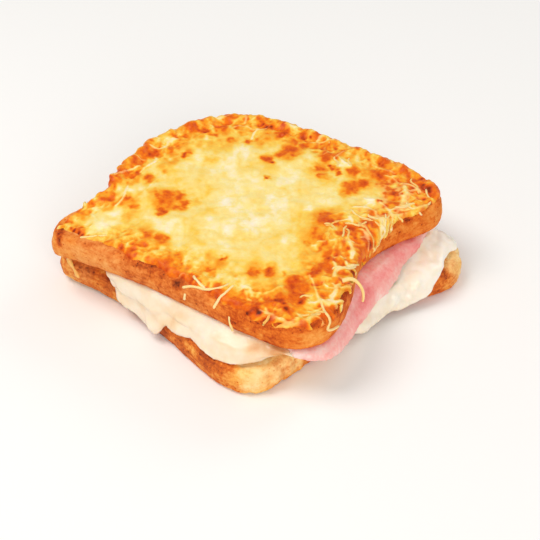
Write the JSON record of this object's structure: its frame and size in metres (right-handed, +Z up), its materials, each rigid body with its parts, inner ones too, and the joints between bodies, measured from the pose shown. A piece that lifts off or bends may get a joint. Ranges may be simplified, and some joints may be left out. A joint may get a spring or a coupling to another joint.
{
  "type": "croque monsieur",
  "caption": "Grilled ham and cheese sandwich: toasted square bread slices, white sauce oozing out at the sides, ham hanging over one side, browned grated cheese on top.",
  "frame": {"origin": "under the middle of the whole sandwich, on the surface that it rests on", "axes": "+X towards the side where the ham hangs out, +Y from the upper slice's straight front edge to its back, +Z up"},
  "size_m": [0.137, 0.1256, 0.0366],
  "materials": {
    "lower_crust": "toasted bread crust, finely porous, brown to pale gold",
    "sauce": "thick ivory white sauce, soft satin sheen",
    "ham": "moist cooked ham, pink with paler grain",
    "upper_crust": "toasted bread crust, finely porous, orange brown",
    "cheese": "melted grated cheese, pale gold with browned patches, oily sheen"
  },
  "bodies": {
    "root": {"lower_slice": "lower_crust", "white_sauce": "sauce", "ham": "ham", "upper_slice": "upper_crust", "grilled_cheese": "cheese"}
  },
  "joints": []
}
